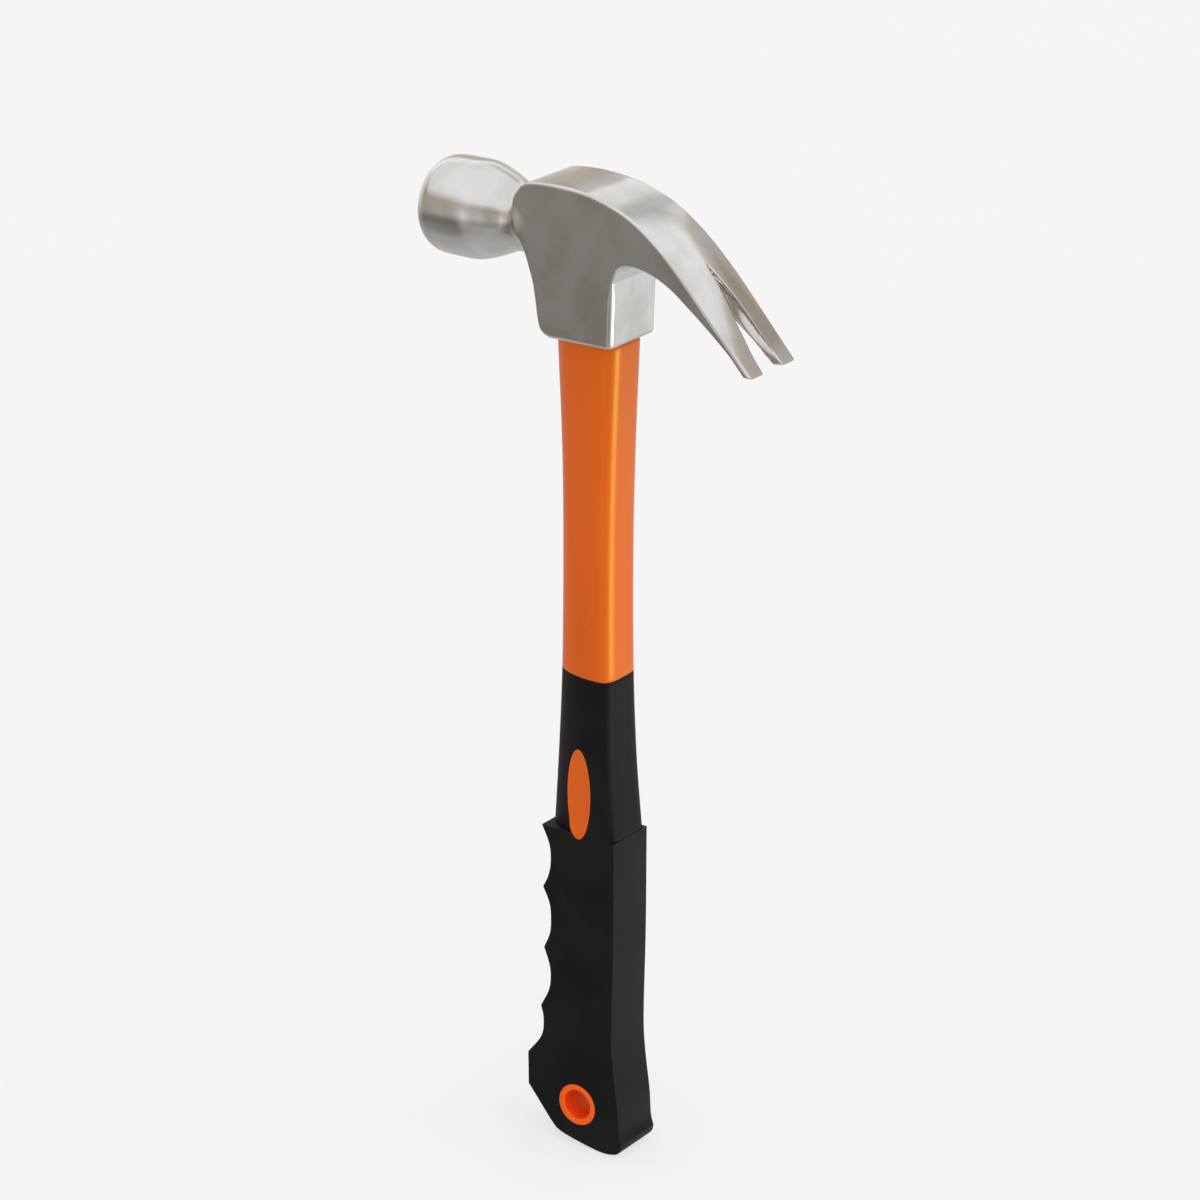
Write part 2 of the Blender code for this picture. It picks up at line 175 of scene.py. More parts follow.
# Orange inserts, with centres and half sizes as (x, z)
INLAY_CENTRE = ((INLAY_LOW + INLAY_HIGH) / 2)[[0, 2]] - (HANDLE_X, 0.0)
INLAY_HALF = ((INLAY_HIGH - INLAY_LOW) / 2)[[0, 2]]
INLAY_FLOOR_Y = -INLAY_HIGH[1]
INLAY_RUN_OUT = 6.0                  # height over which its face passes from plate to sleeve
INLAY_SHARP_ANGLE = 50.0
# Inlay relief as (share of the way out, rise over the grip's surface)
INLAY_RELIEF = [(0.05, -0.12), (0.3, -0.12), (0.55, -0.12), (0.74, -0.10), (0.82, 0.0), (0.87, 0.12),
                (0.92, 0.17), (0.96, 0.13), (0.99, 0.02), (1.0, -0.15)]
EYELET_CENTRE = ((EYELET_LOW + EYELET_HIGH) / 2)[[0, 2]] - (HANDLE_X, 0.0)
EYELET_RADIUS = (EYELET_HIGH[2] - EYELET_LOW[2]) / 2
EYELET_BORE_RADIUS = 5.1
EYELET_LIP = 0.7                     # radius of the lip at each end of the bore
EYELET_LIP_POINTS = 6
EYELET_PROUD = 0.15                  # how far the lips stand out of the grip
# Eyelet's outer rim as (depth under its face, inset from its radius)
EYELET_RIM = [(0.0, 0.3), (0.1, 0.1), (0.3, 0.0)]


# ---------------------------------------------------------------- shape helpers

def smooth_curve(points, steps):
    """Catmull-Rom curve through the points, as an array."""
    if len(points) == 2:
        return np.array(points, float)
    knots = np.array(points, float)
    knots = np.vstack([2 * knots[0] - knots[1], knots, 2 * knots[-1] - knots[-2]])
    share = (np.arange(steps) / steps)[:, None]
    spans = []
    for a, b, c, d in zip(knots, knots[1:], knots[2:], knots[3:]):
        spans.append(0.5 * (2 * b + (c - a) * share + (2 * a - 5 * b + 4 * c - d) * share ** 2
                            + (3 * b - a - 3 * c + d) * share ** 3))
    return np.vstack(spans + [knots[-2:-1]])


def closed_outline(runs, steps):
    """One closed outline from runs that meet end to end."""
    return np.vstack([smooth_curve(run, steps)[:-1] for run in runs])


def smooth_step(value, low, high):
    """0 at low and 1 at high, eased at both ends; low may be the larger."""
    share = np.clip((value - low) / (high - low), 0.0, 1.0)
    return share * share * (3 - 2 * share)


def polygon_distance(u, v, polygon):
    """Signed distance from points (u, v) to a closed polygon, negative inside."""
    nearest = np.full(u.shape, np.inf)
    inside = np.zeros(u.shape, bool)
    for (au, av), (bu, bv) in zip(polygon, np.roll(polygon, -1, axis=0)):
        du, dv = bu - au, bv - av
        length = du * du + dv * dv
        if length < TINY:
            continue
        pu, pv = u - au, v - av
        along = np.clip((pu * du + pv * dv) / length, 0.0, 1.0)
        nearest = np.minimum(nearest, (pu - along * du) ** 2 + (pv - along * dv) ** 2)
        if av != bv:
            inside ^= ((av > v) != (bv > v)) & (u < au + du * (v - av) / dv)
    return np.where(inside, -1.0, 1.0) * np.sqrt(nearest)


def line_distance(u, v, line):
    """Distance from points (u, v) to an open line of points."""
    nearest = np.full(u.shape, np.inf)
    for (au, av), (bu, bv) in zip(line, line[1:]):
        du, dv = bu - au, bv - av
        along = np.clip(((u - au) * du + (v - av) * dv) / max(du * du + dv * dv, TINY), 0.0, 1.0)
        nearest = np.minimum(nearest, (u - au - along * du) ** 2 + (v - av - along * dv) ** 2)
    return np.sqrt(nearest)


def blended_union(a, b, width):
    """a and b joined with a fillet where they meet."""
    share = np.maximum(width - np.abs(a - b), 0.0) / width
    return np.minimum(a, b) - share * share * width / 4


def blended_cut(a, b, width):
    """a with b taken away and the new edge eased."""
    return -blended_union(-a, b, width)


def rounded_overlap(a, b, radius):
    """Where a and b overlap, with a round edge."""
    outer = np.hypot(np.maximum(a + radius, 0.0), np.maximum(b + radius, 0.0))
    return outer + np.minimum(np.maximum(a, b) + radius, 0.0) - radius


# ---------------------------------------------------------------- head

HEAD_SIDE = closed_outline(HEAD_OUTLINE, steps=14)
CLAW_BELOW = smooth_curve(HEAD_OUTLINE[2], steps=4)
CLAW_ABOVE = smooth_curve(HEAD_OUTLINE[0], steps=6)
POLL_EDGE = np.vstack([smooth_curve(POLL_PROFILE, steps=8), POLL_ROOT])
POLL_SECTION = np.vstack([POLL_EDGE, POLL_EDGE[::-1] * (1, -1)])
SLOT_WIDE = smooth_curve(SLOT_OUTSIDE, steps=8)
SLOT_NARROW = smooth_curve(SLOT_INSIDE, steps=8)


def side_fields(x, drop):
    """Distance to the side outline, the claw's dome there, and the slot's half width there."""
    side = polygon_distance(x, drop, HEAD_SIDE)
    dome = np.zeros(x.shape)
    slot = np.full(x.shape, NO_SLOT)
    claws = x > CLAW_CROWN_START_X
    along = x[claws]
    below = line_distance(along, drop[claws], CLAW_BELOW)
    above = line_distance(along, drop[claws], CLAW_ABOVE)
    rise = smooth_step(along, CLAW_CROWN_START_X, CLAW_CROWN_FULL_X)
    fade = 1 - smooth_step(along, CLAW_CROWN_FULL_X, TIP_X)
    dome[claws] = CLAW_CROWN * rise * fade * smooth_step(below - above, *CLAW_CROWN_FADE)
    wide = np.interp(along, SLOT_WIDE[:, 0], SLOT_WIDE[:, 1])
    narrow = np.interp(along, SLOT_NARROW[:, 0], SLOT_NARROW[:, 1])
    slot[claws] = narrow + (wide - narrow) * (below / (above + below)) ** SLOT_FLARE
    return side, dome, slot


def block_distance(x, y, drop, side, dome):
    """The block and claws: the side outline swept across, with round edges and a domed back."""
    half = CHEEK_HALF_WIDTH + CLAW_FLARE * np.exp(-((x - CLAW_FLARE_X) / CLAW_FLARE_REACH) ** 2)
    away = np.abs(y)
    lift = dome * (1 - np.minimum(away / half, 1.0) ** 2)
    socket = smooth_step(drop, *SOCKET_EDGE_DROP) * smooth_step(x, *SOCKET_EDGE_X)
    return rounded_overlap(side - lift, away - half, TOP_EDGE + (SOCKET_EDGE - TOP_EDGE) * socket)


def head_distance(x, y, drop, fields=None):
    """Signed distance to the whole head, negative in the steel; fields are its side_fields."""
    side, dome, slot = fields or side_fields(x, drop)
    body = block_distance(x, y, drop, side, dome)
    near = x < POLL_LIMIT_X
    radius = np.hypot(y, drop - POLL_AXIS_DROP)
    poll = np.full(body.shape, FAR_OUTSIDE)
    poll[near] = polygon_distance(x[near], radius[near], POLL_SECTION)
    body = blended_union(body, poll, NECK_BLEND)
    claws = x > SLOT_LIMIT_X
    body[claws] = blended_cut(body[claws], np.abs(y[claws]) - slot[claws], SLOT_EASING)
    long_half, short_half = SOCKET_BORE_HALF
    bore = (np.hypot(x / long_half, y / short_half) - 1.0) * short_half
    return np.maximum(body, -np.maximum(bore, SOCKET_BORE_DROP - drop))


def cell_points(field, low, step):
    """A point in each grid cell that the surface crosses, and each cell's point number or -1."""
    cells = tuple(size - 1 for size in field.shape)
    crossed = np.zeros(cells, bool)
    total = np.zeros(cells + (3,))
    count = np.zeros(cells)
    units = np.eye(3, dtype=int)
    for axis in range(3):
        others = [units[i] for i in range(3) if i != axis]
        for first in (0, 1):
            for second in (0, 1):
                at = first * others[0] + second * others[1]
                to = at + units[axis]
                here = field[tuple(slice(at[i], at[i] + cells[i]) for i in range(3))]
                there = field[tuple(slice(to[i], to[i] + cells[i]) for i in range(3))]
                cut = (here < 0) != (there < 0)
                share = np.where(cut, here / np.where(cut, here - there, 1.0), 0.0)
                crossed |= cut
                count += cut
                for i in range(3):
                    total[..., i] += cut * at[i]
                total[..., axis] += share
    number = np.full(cells, -1)
    number[crossed] = np.arange(crossed.sum())
    corner = np.argwhere(crossed)
    return low + step * (corner + total[crossed] / count[crossed][:, None]), number


def edge_quads(inside, number):
    """A quad through the four cells round each grid edge that leaves or enters the surface."""
    units = np.eye(3, dtype=int)
    quads = []
    for axis in range(3):
        others = [i for i in range(3) if i != axis]
        span = [slice(1, -1)] * 3
        span[axis] = slice(0, -1)
        ahead = [slice(1, -1)] * 3
        ahead[axis] = slice(1, None)
        start, end = inside[tuple(span)], inside[tuple(ahead)]
        at = np.argwhere(start != end)
        leaving = start[tuple(at.T)]
        at = at + (1 - units[axis])
        around = []
        for back in ((1, 1), (0, 1), (0, 0), (1, 0)):
            cell = at.copy()
            cell[:, others[0]] -= back[0]
            cell[:, others[1]] -= back[1]
            around.append(number[tuple(cell.T)])
        quad = np.stack(around, axis=1)
        flip = leaving if axis == 1 else ~leaving
        quad[flip] = quad[flip][:, ::-1]
        quads.append(quad)
    return np.vstack(quads)


def field_slope(points, distance):
    """Which way and how fast the field rises at each point."""
    slope = np.empty_like(points)
    for axis in range(3):
        ahead, behind = points.copy(), points.copy()
        ahead[:, axis] += SLOPE_REACH
        behind[:, axis] -= SLOPE_REACH
        slope[:, axis] = (distance(*ahead.T) - distance(*behind.T)) / (2 * SLOPE_REACH)
    return slope


def settle(points, distance):
    """Move the points onto the surface along the field's slope."""
    slope = field_slope(points, distance)
    slope /= np.maximum((slope ** 2).sum(1), LEAST_SLOPE_SQUARED)[:, None]
    for _ in range(SETTLE_ROUNDS):
        points = points - distance(*points.T)[:, None] * slope
    return points


def head_surface():
    """Points, normals and quads: the half with y above 0, meshed and mirrored.

    The first row of cells straddles y = 0, so its points are moved there and both halves share them.
    """
    low = np.array([FACE_X - FIELD_MARGIN, -FIELD_STEP / 2, -FIELD_MARGIN])
    high = np.array([TIP_X, HEAD_HIGH[1], CROWN_Z - SOCKET_Z]) + FIELD_MARGIN
    axes = [np.arange(a, b, FIELD_STEP) for a, b in zip(low, high)]
    x, y, drop = np.meshgrid(*axes, indexing="ij")
    flat_fields = side_fields(x[:, 0], drop[:, 0])
    fields = [np.repeat(flat[:, None], y.shape[1], axis=1) for flat in flat_fields]
    field = head_distance(x, y, drop, fields)
    points, number = cell_points(field, low, FIELD_STEP)
    quads = edge_quads(field < 0, number)
    middle = points[:, 1] < FIELD_STEP / 2
    points = settle(points, head_distance)
    normals = field_slope(points, head_distance)
    points[middle, 1] = 0.0
    normals[middle, 1] = 0.0
    normals /= np.hypot(np.hypot(*normals.T[:2]), normals[:, 2])[:, None]
    twin = np.where(middle, np.arange(len(points)), len(points) + np.cumsum(~middle) - 1)
    points, normals = [np.vstack([rows, rows[~middle] * (1, -1, 1)]) for rows in (points, normals)]
    return points, normals, np.vstack([quads, twin[quads][:, ::-1]])


# ---------------------------------------------------------------- meshes

def make_mesh(name, points, faces, material=None, sharp_angle=SHARP_ANGLE):
    """A mesh object from millimetre points about the handle's axis, with outward faces."""
    mesh = bpy.data.meshes.new(name)
    places = (np.asarray(points, float) + (HANDLE_X, 0.0, 0.0)) * MM
    mesh.from_pydata(places.tolist(), [], [tuple(int(i) for i in face) for face in faces])
    bm = bmesh.new()
    bm.from_mesh(mesh)
    bmesh.ops.recalc_face_normals(bm, faces=bm.faces)
    bm.to_mesh(mesh)
    bm.free()
    mesh.shade_smooth()
    if sharp_angle:
        mesh.set_sharp_from_angle(angle=math.radians(sharp_angle))
    if material:
        mesh.materials.append(material)
    item = bpy.data.objects.new(name, mesh)
    bpy.context.collection.objects.link(item)
    return item


def stack_rings(rings, closed=False):
    """Faces between rings of equal length: capped at both ends, or joined round when closed."""
    count, size = len(rings), len(rings[0])
    faces = []
    for i in range(count if closed else count - 1):
        low, high = i * size, (i + 1) % count * size
        for j in range(size):
            k = (j + 1) % size
            faces.append((low + j, low + k, high + k, high + j))
    if not closed:
        faces.append(tuple(range(size)))
        faces.append(tuple(range((count - 1) * size, count * size)))
    return np.vstack(rings), faces


def take_part(piece, node):
    """Put a piece on the hammer's one body, in place of a CAD node, which it hides."""
    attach(piece, "root")
    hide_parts(node)


def bake_booleans(item, steps):
    """Run exact Booleans on the item and drop the helper objects."""
    for other, operation in steps:
        modifier = item.modifiers.new(operation.lower(), "BOOLEAN")
        modifier.operation = operation
        modifier.solver = "EXACT"
        modifier.object = other
    evaluated = item.evaluated_get(bpy.context.evaluated_depsgraph_get())
    result = bpy.data.meshes.new_from_object(evaluated)
    item.modifiers.clear()
    item.data = result
    for other, _ in steps:
        bpy.data.objects.remove(other, do_unlink=True)
    result.shade_smooth()
    result.set_sharp_from_angle(angle=math.radians(SHARP_ANGLE))


def make_head(steel):
    """The forging, shaded by its field's slope so that reflections run smoothly over it."""
    points, normals, quads = head_surface()
    points[:, 2] = CROWN_Z - points[:, 2]
    head = make_mesh("forged_head", points, quads, steel, sharp_angle=None)
    head.data.normals_split_custom_set_from_vertices((normals * (1, 1, -1)).tolist())
    take_part(head, "head")


# ---------------------------------------------------------------- handle jacket

SHAFT_TABLE = smooth_curve(SHAFT_STATIONS, steps=20)


def shaft_ring(z, grow):
    """Egg-shaped section at a height: an elliptical front and a squarer back."""
    front, back, half = [np.interp(z, SHAFT_TABLE[:, 0], SHAFT_TABLE[:, i]) for i in (1, 2, 3)]
    across, side = np.cos(RING_ANGLES), np.sin(RING_ANGLES)
    reach = np.where(across < 0, SHAFT_WIDEST_X - front, back - SHAFT_WIDEST_X) + grow
    rise = min(1.0, max(0.0, (z - SHOULDER_Z) / SHOULDER_REACH))
    squareness = SHAFT_BACK_POWER + (SHOULDER_POWER - SHAFT_BACK_POWER) * (1 - rise) ** 2
    power = np.where(across < 0, SHAFT_FRONT_POWER, squareness)
    radius = (np.abs(across / reach) ** power + np.abs(side / (half + grow)) ** power) ** (-1 / power)
    return np.column_stack([SHAFT_WIDEST_X + radius * across, radius * side, np.full(RING_SIDES, z)])


def oval_ring(half, z):
    """An oval round the handle's axis at a height."""
    x = half[0] * np.cos(RING_ANGLES)
    y = half[1] * np.sin(RING_ANGLES)
    return np.column_stack([x, y, np.full(RING_SIDES, z)])


def eased_ends(low, high):
    """Heights from low to high as (z, growth), with an inset that rounds off both ends."""
    count = max(2, int((high - low) / RING_STEP))
    inner = np.linspace(low + JACKET_EASING, high - JACKET_EASING, count)
    middle = EASING_MIDDLE * JACKET_EASING
    corner = [(0.0, JACKET_EASING), (middle, middle)]
    stack = [(low + rise, -inset) for rise, inset in corner]
    stack += [(z, 0.0) for z in inner]
    return stack + [(high - rise, -inset) for rise, inset in reversed(corner)]


def make_jacket(orange):
    """The orange shaft, a tail inside the grip, and the bore for the rod, as one closed skin."""
    top = SOCKET_Z - SEAM
    rings = [shaft_ring(z, grow) for z, grow in eased_ends(JACKET_Z, top)]
    bore = [half + CAD_GAP for half in CORE_HALF]
    rings += [oval_ring(bore, top), oval_ring(bore, JACKET_LOW[2])]
    rings += [oval_ring(TAIL_HALF, JACKET_LOW[2]), oval_ring(TAIL_HALF, JACKET_Z)]
    points, faces = stack_rings(rings, closed=True)
    take_part(make_mesh("jacket_shell", points, faces, orange), "handle_jacket")


# ---------------------------------------------------------------- grip

def mitred_normals(outline):
    """Outward normals of a closed (x, z) outline that turns clockwise."""
    before = outline - np.roll(outline, 1, axis=0)
    after = np.roll(outline, -1, axis=0) - outline
    sides = []
    for step in (before, after):
        sides.append(np.column_stack([-step[:, 1], step[:, 0]]) / np.hypot(*step.T)[:, None])
    middle = sides[0] + sides[1]
    middle /= np.hypot(*middle.T)[:, None]
    return middle / np.maximum(MITRE_LIMIT, (middle * sides[0]).sum(1))[:, None]


def grip_plate():
    """The plate-like lower grip with its finger grooves."""
    outline = closed_outline(GRIP_OUTLINE, steps=10)[::-1]
    normals = mitred_normals(outline)
    turns = np.linspace(0, math.pi / 2, GRIP_EDGE_POINTS)
    rows = [(1 - math.cos(turn), 1 - math.sin(turn)) for turn in turns]
    rings = []
    for sign, order in ((-1, rows), (1, rows[::-1])):
        for out, inset in order:
            place = outline - normals * inset * GRIP_EDGE
            y = sign * (GRIP_HALF_WIDTH - out * GRIP_EDGE)
            rings.append(np.column_stack([place[:, 0], np.full(len(place), y), place[:, 1]]))
    return stack_rings(rings)


def cross_ring(centre, half, y):
    """An oval that faces across the handle, at a distance from its middle plane."""
    x = centre[0] + half[0] * np.cos(RING_ANGLES)
    z = centre[1] + half[1] * np.sin(RING_ANGLES)
    return np.column_stack([x, np.full(RING_SIDES, y), z])


def cross_plug(name, centre, half, low_y, high_y):
    """A cutting plug with an oval section that runs across the handle."""
    return make_mesh(name, *stack_rings([cross_ring(centre, half, y) for y in (low_y, high_y)]))


def grip_sleeve():
    """The upper grip, flush with the jacket; its root replaces the lower end's rounding."""
    heights = [(SHOULDER_Z - depth, grow) for depth, grow in SLEEVE_ROOT]
    heights += eased_ends(SHOULDER_Z, JACKET_Z - SEAM)[2:]
    return make_mesh("sleeve", *stack_rings([shaft_ring(z, grow) for z, grow in heights]))


def grip_bore():
    """The cutting plug for the jacket's tail and the rod's end."""
    half = [size + CAD_GAP for size in TAIL_HALF]
    heights = (CORE_LOW[2] - CAD_GAP, JACKET_Z + BORE_OVERRUN)
    return make_mesh("bore", *stack_rings([oval_ring(half, z) for z in heights]))


def make_grip(rubber):
    """The lower grip and sleeve as one moulding, with its bore, hang hole and inlay pockets."""
    grip = make_mesh("grip_moulding", *grip_plate(), rubber)
    hole_half = (EYELET_RADIUS + SEAM, EYELET_RADIUS + SEAM)
    hole = cross_plug("hole", EYELET_CENTRE, hole_half, -PLUG_REACH, PLUG_REACH)
    steps = [(grip_sleeve(), "UNION"), (grip_bore(), "DIFFERENCE"), (hole, "DIFFERENCE")]
    for side in (-1, 1):
        low_y, high_y = sorted((side * (INLAY_FLOOR_Y - CAD_GAP), side * PLUG_REACH))
        pocket = cross_plug("pocket", INLAY_CENTRE, INLAY_HALF + SEAM, low_y, high_y)
        steps.append((pocket, "DIFFERENCE"))
    bake_booleans(grip, steps)
    take_part(grip, "rubber_grip")


# ---------------------------------------------------------------- orange inserts

def skin_y(x, z):
    """How far an inlay's face stands from the middle plane; it runs smoothly onto the plate."""
    height = np.maximum(z, SHOULDER_Z)
    front, half = [np.interp(height, SHAFT_TABLE[:, 0], SHAFT_TABLE[:, i]) for i in (1, 3)]
    share = np.clip((SHAFT_WIDEST_X - x) / (SHAFT_WIDEST_X - front), 0.0, 1.0)
    on_sleeve = smooth_step(z, SHOULDER_Z, SHOULDER_Z + INLAY_RUN_OUT)
    return GRIP_HALF_WIDTH + (half * np.sqrt(1 - share ** 2) - GRIP_HALF_WIDTH) * on_sleeve


def make_inlay(name, node, side, orange):
    """An oval insert that follows the grip's surface, with a rounded rim and a shallow dish."""
    rings = []
    for share, rise in INLAY_RELIEF:
        ring = cross_ring(INLAY_CENTRE, INLAY_HALF * share, 0.0)
        ring[:, 1] = side * (skin_y(ring[:, 0], ring[:, 2]) + rise)
        rings.append(ring)
    back = rings[-1].copy()
    back[:, 1] = side * INLAY_FLOOR_Y
    inlay = make_mesh(name, *stack_rings(rings + [back]), orange, INLAY_SHARP_ANGLE)
    take_part(inlay, node)


def make_eyelet(orange):
    """A bush through the hang hole with rounded lips."""
    half = GRIP_HALF_WIDTH + EYELET_PROUD
    side = []
    for turn in np.linspace(0, math.pi / 2, EYELET_LIP_POINTS):
        y = half - EYELET_LIP + EYELET_LIP * math.sin(turn)
        side.append((y, EYELET_BORE_RADIUS + EYELET_LIP - EYELET_LIP * math.cos(turn)))
    side += [(half - depth, EYELET_RADIUS - inset) for depth, inset in EYELET_RIM]
    profile = [(-y, radius) for y, radius in side] + side[::-1]
    rings = [cross_ring(EYELET_CENTRE, (radius, radius), y) for y, radius in profile]
    bush = make_mesh("eyelet_bush", *stack_rings(rings, closed=True), orange)
    take_part(bush, "hang_eyelet")


# ---------------------------------------------------------------- material nodes

# A Mix node's colour sockets, by number because its other sockets have the same names
MIX_COLOUR_A = 6
MIX_COLOUR_B = 7
MIX_COLOUR_RESULT = 2


def new_material(name, **settings):
    """A node material with constant shader settings; returns it with its tree and shader."""
    material = bpy.data.materials.new(name)
    material.use_nodes = True
    shader = material.node_tree.nodes["Principled BSDF"]
    for socket, value in settings.items():
        shader.inputs[socket.replace("_", " ")].default_value = value
    return material, material.node_tree, shader


def noise(tree, size_mm, detail, stretch=(1.0, 1.0, 1.0)):
    """Noise whose features are about size_mm across, longer along an axis with a large stretch."""
    place = tree.nodes.new("ShaderNodeTexCoord")
    mapping = tree.nodes.new("ShaderNodeMapping")
    mapping.inputs["Scale"].default_value = [1 / (size_mm * MM * s) for s in stretch]
    texture = tree.nodes.new("ShaderNodeTexNoise")
    texture.inputs["Scale"].default_value = 1.0
    texture.inputs["Detail"].default_value = detail
    tree.links.new(place.outputs["Object"], mapping.inputs["Vector"])
    tree.links.new(mapping.outputs["Vector"], texture.inputs["Vector"])
    return texture.outputs["Fac"]


def spread(tree, value, low, high, new_low=0.0, new_high=1.0):
    """Stretch the range low..high of a value to new_low..new_high, eased at both ends."""
    node = tree.nodes.new("ShaderNodeMapRange")
    node.interpolation_type = "SMOOTHSTEP"
    limits = {"From Min": low, "From Max": high, "To Min": new_low, "To Max": new_high}
    for socket, number in limits.items():
        node.inputs[socket].default_value = number
    tree.links.new(value, node.inputs["Value"])
    return node.outputs["Result"]


def blend_colours(tree, factor, first, second):
    """Mix two colours, each given as a tuple or as a socket."""
    node = tree.nodes.new("ShaderNodeMix")
    node.data_type = "RGBA"
    tree.links.new(factor, node.inputs["Factor"])
    sockets = (node.inputs[MIX_COLOUR_A], node.inputs[MIX_COLOUR_B])
    for socket, colour in zip(sockets, (first, second)):
        if isinstance(colour, tuple):
            socket.default_value = (*colour, 1.0)
        else:
            tree.links.new(colour, socket)
    return node.outputs[MIX_COLOUR_RESULT]


def combine_values(tree, operation, first, second):
    """A sum, product or the like of two values, each given as a number or as a socket."""
    node = tree.nodes.new("ShaderNodeMath")
    node.operation = operation
    for socket, value in zip(node.inputs, (first, second)):
        if isinstance(value, (int, float)):
            socket.default_value = value
        else:
            tree.links.new(value, socket)
    return node.outputs["Value"]


def emboss(tree, shader, layers):
    """Stack bump layers, each a height socket and its depth in millimetres."""
    normal = None
    for height, depth in layers:
        bump = tree.nodes.new("ShaderNodeBump")
        bump.inputs["Distance"].default_value = depth * MM
        tree.links.new(height, bump.inputs["Height"])
        if normal:
            tree.links.new(normal, bump.inputs["Normal"])
        normal = bump.outputs["Normal"]
    tree.links.new(normal, shader.inputs["Normal"])


# ---------------------------------------------------------------- materials

# Sizes in noise() and depths in emboss() are in millimetres
STEEL_CLOUDED = (0.66, 0.64, 0.61)
STEEL_CLEAR = (0.75, 0.745, 0.735)
STEEL_SCRATCH = (0.77, 0.765, 0.76)
SCRATCH_ROUGHNESS = 0.06             # what a scratch adds to the polish around it
SHAFT_ORANGE = (0.745, 0.085, 0.0065)
INLAY_ORANGE = (0.745, 0.074, 0.0030)
# the bush's orange is redder than the shaft's: its own orange plus painted bounce light, the glow of
# light reflected round inside its bore
EYELET_ORANGE_WITH_PAINTED_BOUNCE = (0.92, 0.068, 0.0060)
SHAFT_ROUGHNESS = 0.29
INLAY_ROUGHNESS = 0.38
EYELET_ROUGHNESS = 0.40
ROUGHNESS_SWAY = 0.03                # how far flow marks move the orange plastic's roughness
ORANGE_GLOSS_TINT = (0.85, 1.0, 0.14, 1.0)
ORANGE_DEEPER = 0.93                 # flow marks, as a share of the plain colour
ORANGE_PALER = 1.06                  # specks, as a share of it
ORANGE_LIFT = 0.004                  # and what is added to them
RUBBER_DARK = (0.0048, 0.0042, 0.0045)
RUBBER_PALE = (0.0086, 0.0079, 0.0082)
RUBBER_GRAIN = (0.0125, 0.0117, 0.0121)
RESIN_BETWEEN_FIBRES = (0.52, 0.46, 0.27)
GLASS_FIBRE = (0.80, 0.76, 0.58)
EPOXY_AMBER = (0.46, 0.27, 0.08)
EPOXY_BUBBLE = (0.66, 0.48, 0.22)


def polished_steel():
    """Ground and polished steel: slightly uneven, with clouded patches and hairline scratches."""
    material, tree, shader = new_material("polished_steel", Metallic=1.0)
    clouds = noise(tree, 15.0, detail=3.0)
    smears = noise(tree, 5.0, detail=4.0, stretch=(1.6, 1.0, 1.0))
    along = noise(tree, 0.22, detail=3.0, stretch=(40.0, 1.0, 1.0))
    across = noise(tree, 0.25, detail=3.0, stretch=(1.0, 12.0, 40.0))
    waves = noise(tree, 18.0, detail=1.0)
    hairlines = spread(tree, combine_values(tree, "MULTIPLY", along, across), 0.34, 0.46)
    tint = blend_colours(tree, spread(tree, clouds, 0.38, 0.62), STEEL_CLOUDED, STEEL_CLEAR)
    tint = blend_colours(tree, hairlines, tint, STEEL_SCRATCH)
    tree.links.new(tint, shader.inputs["Base Color"])
    polish = spread(tree, smears, 0.3, 0.7, 0.05, 0.12)
    dulling = combine_values(tree, "MULTIPLY", hairlines, SCRATCH_ROUGHNESS)
    roughness = combine_values(tree, "ADD", polish, dulling)
    tree.links.new(roughness, shader.inputs["Roughness"])
    emboss(tree, shader, [(waves, 0.10), (along, 0.0012), (across, 0.0005)])
    return material


def orange_plastic(name, colour, roughness):
    """Moulded orange plastic with faint flow marks and an eggshell surface."""
    material, tree, shader = new_material(name, IOR=1.54, Specular_IOR_Level=1.0,
                                          Specular_Tint=ORANGE_GLOSS_TINT)
    flow = noise(tree, 16.0, detail=1.0, stretch=(1.0, 1.0, 4.0))
    specks = noise(tree, 0.5, detail=2.0)
    dents = noise(tree, 7.0, detail=0.0)
    deep = tuple(ORANGE_DEEPER * part for part in colour)
    pale = tuple(min(1.0, ORANGE_PALER * part + ORANGE_LIFT) for part in colour)
    tint = blend_colours(tree, spread(tree, flow, 0.35, 0.65), deep, colour)
    tint = blend_colours(tree, spread(tree, specks, 0.60, 0.75, 0.0, 0.5), tint, pale)
    tree.links.new(tint, shader.inputs["Base Color"])
    gloss = spread(tree, flow, 0.2, 0.8, roughness - ROUGHNESS_SWAY, roughness + ROUGHNESS_SWAY)
    tree.links.new(gloss, shader.inputs["Roughness"])
    emboss(tree, shader, [(dents, 0.03), (specks, 0.006)])
    return material


def black_rubber():
    """Moulded rubber: near black, with a fine leathery grain and rubbed patches."""
    material, tree, shader = new_material("black_rubber", Specular_IOR_Level=0.16)
    rubbed = noise(tree, 22.0, detail=4.0)
    grain = noise(tree, 0.55, detail=3.0)
    dents = noise(tree, 9.0, detail=1.0)
    tint = blend_colours(tree, spread(tree, rubbed, 0.40, 0.66), RUBBER_DARK, RUBBER_PALE)
    tint = blend_colours(tree, spread(tree, grain, 0.56, 0.74, 0.0, 0.6), tint, RUBBER_GRAIN)
    tree.links.new(tint, shader.inputs["Base Color"])
    tree.links.new(spread(tree, rubbed, 0.3, 0.7, 0.46, 0.58), shader.inputs["Roughness"])
    emboss(tree, shader, [(dents, 0.06), (grain, 0.035)])
    return material


